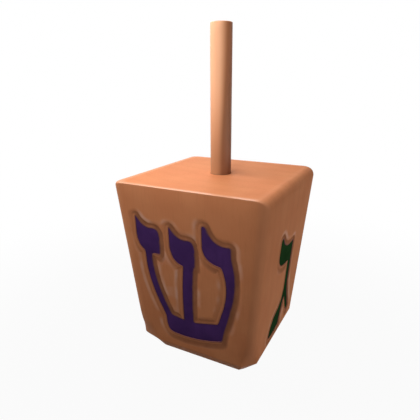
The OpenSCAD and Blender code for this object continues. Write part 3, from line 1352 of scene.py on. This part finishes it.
@dataclass
class Stem:
    """The dowel that is glued into the block, sanded a little uneven by hand. Lengths are millimetres."""

    finish: WoodFinish
    node: str = "stem"
    end_round: float = 0.16
    end_ring: float = 0.45
    glued_chamfer: float = 0.4
    # Hollows from sanding: depth, number round the dowel, twist and pitch along it in radians
    sanding: float = 0.025
    hollows: int = 3
    hollow_twist: float = 0.11
    hollow_pitch: float = 0.37
    # Mesh
    columns: int = 56
    rows: int = 30
    arc_steps: int = 5

    def build(self) -> bpy.types.Object:
        """Makes the dowel.

        Returns:
            The piece.
        """
        low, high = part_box(self.node)
        radius = (high.x - low.x) / MM / 2
        bottom, top = low.z / MM, high.z / MM
        piece = Piece("dowel_stem")
        ends = [piece.add(np.array([[0.0, 0.0, z]])) for z in (bottom, top)]
        turn = np.linspace(0, FULL_TURN, self.columns, endpoint=False)
        rings = []
        for reach, z in self._outline(radius, bottom, top):
            hollow = self.sanding * wave(self.hollows * turn + self.hollow_twist * z)
            spoke = reach * (1 - hollow * wave(self.hollow_pitch * z) / radius)
            ring = np.column_stack([spoke * np.cos(turn), spoke * np.sin(turn), np.full(self.columns, z)])
            wear = float(z > top - self.end_round)
            rings.append(piece.add(ring, **{DISTANCE_NAME: FAR_FROM_LETTERS, EDGE_NAME: wear}))
        piece.fan(ends[0], rings[0], self.columns, False)
        piece.stack(rings, self.columns)
        piece.fan(ends[1], rings[-1], self.columns, True)
        return dressed(piece.make(self.finish.material()), self.node)

    def _outline(self, radius: float, bottom: float, top: float) -> np.ndarray:
        """Draws the dowel's half outline.

        Args:
            radius: The dowel's radius.
            bottom: Height of its lower end.
            top: Height of its upper end.

        Returns:
            Half widths and heights, from the lower end up to a ring on the upper one.
        """
        angles = np.linspace(0, QUARTER_TURN, self.arc_steps + 1)
        inward = self.end_round * (1 - np.cos(angles))
        downward = self.end_round * (1 - np.sin(angles))
        rim = np.column_stack([radius - inward, top - downward])
        heights = np.linspace(bottom + self.glued_chamfer, rim[0, 1], self.rows)
        shaft = np.column_stack([np.full(self.rows, radius), heights])
        first = [[radius - self.glued_chamfer, bottom]]
        last = [[self.end_ring * rim[-1, 0], top]]
        return np.vstack([first, shaft, rim[1:], last])


@dataclass
class PaintFill:
    """The paint in one letter's pocket: a low cushion with a crisp edge. Lengths are millimetres."""

    letter: Letter
    finish: PaintFinish
    edge_level: float = -0.17
    crown: float = 0.07
    crown_reach: float = 0.9
    floor_level: float = -0.78
    inset_rings: tuple[float, ...] = (-0.1, -0.28, -0.55, -0.9)
    # Ripples that the brush leaves: height, radians per millimetre across and up, and fade from the edge
    ripple: float = 0.02
    ripple_waves: tuple[Pair, ...] = ((1.9, 0.8), (0.7, -1.3))
    ripple_fade: Pair = (0.1, 0.8)

    def build(self, name: str) -> bpy.types.Object:
        """Makes the paint.

        Args:
            name: The piece's name.

        Returns:
            The piece.
        """
        letter = self.letter
        piece = Piece(name)
        outline = np.concatenate(letter.loops)
        inner = np.concatenate([letter.ring(offset) for offset in self.inset_rings])
        top, faces = self._triangles(np.concatenate([outline, inner]))
        away, _ = letter.measure(top)
        cushion = self.edge_level + self.crown * smooth(0.0, self.crown_reach, -away)
        heights = cushion + self._ripples(top, away)
        upper = piece.add(letter.side.placed(np.column_stack([top, heights])), **{DISTANCE_NAME: away})
        piece.faces += [tuple(upper + i for i in face) for face in faces]
        bottom, faces = self._triangles(outline)
        level = np.full(len(bottom), self.floor_level)
        lower = piece.add(letter.side.placed(np.column_stack([bottom, level])))
        piece.faces += [tuple(lower + i for i in reversed(face)) for face in faces]
        for here, after in letter.edges(0):
            piece.faces.append((lower + here, lower + after, upper + after, upper + here))
        return dressed(piece.make(self.finish.material()), letter.node)

    def _triangles(self, points: np.ndarray) -> tuple[np.ndarray, list[Face]]:
        """Fills the letter's outlines with triangles.

        Args:
            points: The outlines' points, and then any inside them.

        Returns:
            The triangles' corners and the triangles.
        """
        spots, triangles, _ = filled(points, self.letter.edges(0))
        middles = np.array([spots[list(triangle)].mean(0) for triangle in triangles])
        inside = self.letter.measure(middles)[0] < 0
        return spots, [triangle for triangle, kept in zip(triangles, inside) if kept]

    def _ripples(self, spots: np.ndarray, away: np.ndarray) -> np.ndarray:
        """The slight unevenness that a brush leaves, fading out at the edge."""
        first, second = (np.sin(spots[:, 0] * across + spots[:, 1] * up) for across, up in self.ripple_waves)
        return self.ripple * (first * second) * smooth(*self.ripple_fade, -away)


@dataclass(frozen=True)
class Lamp:
    """One soft lamp, aimed at a point on the object. Lengths are millimetres."""

    name: str
    place: Place
    aim: Place
    size: float
    power: float
    spread: float = 180.0

    def build(self) -> bpy.types.Object:
        """Hangs the lamp.

        Returns:
            The lamp.
        """
        data = bpy.data.lights.new(self.name, "AREA")
        data.shape = "DISK"
        data.size = self.size * MM
        data.energy = self.power
        data.spread = math.radians(self.spread)
        lamp = bpy.data.objects.new(self.name, data)
        place = Vector(self.place) * MM
        way = Vector(self.aim) * MM - place
        lamp.matrix_world = Matrix.Translation(place) @ way.to_track_quat("-Z", "Y").to_matrix().to_4x4()
        bpy.context.scene.collection.objects.link(lamp)
        return lamp


@dataclass
class Studio:
    """The floor, the background, the lamps and the camera at the photograph's view.

    The camera's place, its nearest sight, its lens and its sensor are millimetres, its angles are degrees
    and the floor's radius is metres.
    """

    lamps: tuple[Lamp, ...]
    floor: FloorFinish = FloorFinish()
    ambient_level: float = 0.03
    floor_radius: float = 3.0
    floor_columns: int = 64
    camera_place: Place = (41.05, -84.38, 75.77)
    azimuth: float = 27.6
    elevation: float = 18.0
    roll: float = -0.31
    lens: float = 33.33
    sensor: float = 36.0
    nearest_sight: float = 1.0

    def build(self) -> None:
        """Sets up everything that isn't part of the object."""
        self._add_floor()
        self._add_world()
        for lamp in self.lamps:
            lamp.build()
        self._add_camera()
        bpy.context.scene.view_settings.view_transform = "Standard"

    def _add_floor(self) -> None:
        """Lays a round floor under the tip."""
        piece = Piece("floor")
        centre = piece.add(np.zeros((1, 3)))
        turn = np.linspace(0, FULL_TURN, self.floor_columns, endpoint=False)
        rim = np.column_stack([np.cos(turn), np.sin(turn), np.zeros_like(turn)]) * self.floor_radius / MM
        piece.fan(centre, piece.add(rim), self.floor_columns, True)
        piece.make(self.floor.material())

    def _add_world(self) -> None:
        """Shows white behind the object and lights it evenly from all round."""
        sheet = NodeSheet(bpy.data.worlds.new("studio_world"))
        levels = (self.ambient_level, WHITE_LEVEL)
        soft, white = (
            sheet.node("ShaderNodeBackground", {}, {"Color": WHITE, "Strength": level}) for level in levels)
        mixed = sheet.node("ShaderNodeMixShader", {}, {0: sheet.seen(), 1: soft, 2: white})
        bpy.context.scene.world = sheet.finish(mixed, "ShaderNodeOutputWorld")

    def _add_camera(self) -> None:
        """Sets the camera where the photograph was taken from."""
        data = bpy.data.cameras.new("photo_camera")
        data.lens = self.lens
        data.sensor_width = self.sensor
        data.clip_start = self.nearest_sight * MM
        camera = bpy.data.objects.new("photo_camera", data)
        turn = self._rotation(self.azimuth, "Z") @ self._rotation(RIGHT_ANGLE - self.elevation, "X")
        place = Matrix.Translation(Vector(self.camera_place) * MM)
        camera.matrix_world = place @ turn @ self._rotation(self.roll, "Z")
        bpy.context.scene.collection.objects.link(camera)
        bpy.context.scene.camera = camera

    @staticmethod
    def _rotation(degrees: float, axis: str) -> Matrix:
        """A turn about an axis."""
        return Matrix.Rotation(math.radians(degrees), 4, axis)


# The block's wood: painted shade and highlights round the letters, and a painted highlight along the front
# top edge
BLOCK_WOOD = WoodFinish(
    "block_wood", linear("#df9163"), linear("#da8a5d"), linear("#c47a50"), carving=Carving())
# The stem's wood, with a painted highlight down its lit side and painted shade opposite and towards its lower
# end
STEM_WOOD = WoodFinish(
    "stem_wood", linear("#d08659"), linear("#c97f54"), linear("#b57048"), stem_light_and_shade=StemLightAndShade(),
    pith=(30.0, 12.0), ring_pitch=1.6, ring_wander=2.0, roughness=0.42, gloss=0.2)
VIOLET = PaintFinish("violet_paint", linear("#583772"), linear("#4d3067"))
GREEN = PaintFinish("green_paint", linear("#2f4f2c"), linear("#264424"))
RED = PaintFinish("red_paint", linear("#7c2429"), linear("#6a1c22"))
BLUE = PaintFinish("blue_paint", linear("#27407a"), linear("#203569"))

LETTERS = {
    SideName.FRONT: ("letter_shin", VIOLET),
    SideName.RIGHT: ("letter_gimel", GREEN),
    SideName.BACK: ("letter_nun", RED),
    SideName.LEFT: ("letter_he", BLUE),
}

# Each lamp's name, place, aim, width and power, and the degrees of its beam where that is narrow
LAMPS = (
    Lamp("key_lamp", (-33.0, -34.0, 128.0), (0.0, 0.0, 45.0), 110.0, 0.0895),
    Lamp("back_lamp", (-60.0, 100.0, 130.0), (0.0, 0.0, 45.0), 90.0, 0.09),
    Lamp("right_lamp", (140.0, 15.0, 32.0), (0.0, 0.0, 32.0), 60.0, 0.0475),
    Lamp("left_lamp", (-130.0, -25.0, 105.0), (0.0, 0.0, 45.0), 45.0, 0.021),
    Lamp("front_lamp", (20.0, -125.0, 125.0), (0.0, 0.0, 45.0), 45.0, 0.032),
    Lamp("stem_lamp", (8.0, -76.0, 110.0), (0.0, 0.0, 75.0), 40.0, 0.0015, 55.0),
)


def main() -> None:
    """Builds the dreidel piece by piece, then the studio round it."""
    logging.basicConfig(level=logging.INFO, format="%(message)s")
    block = Block(BLOCK_WOOD)
    letters = {}
    for name, (node, _) in LETTERS.items():
        letters[name] = Letter(node, Side.from_record(name, block.side_z))
    block.build(letters)
    Stem(STEM_WOOD).build()
    for name, (node, finish) in LETTERS.items():
        PaintFill(letters[name], finish).build(f"{node}_paint")
    Studio(LAMPS).build()


if __name__ == "__main__":
    main()
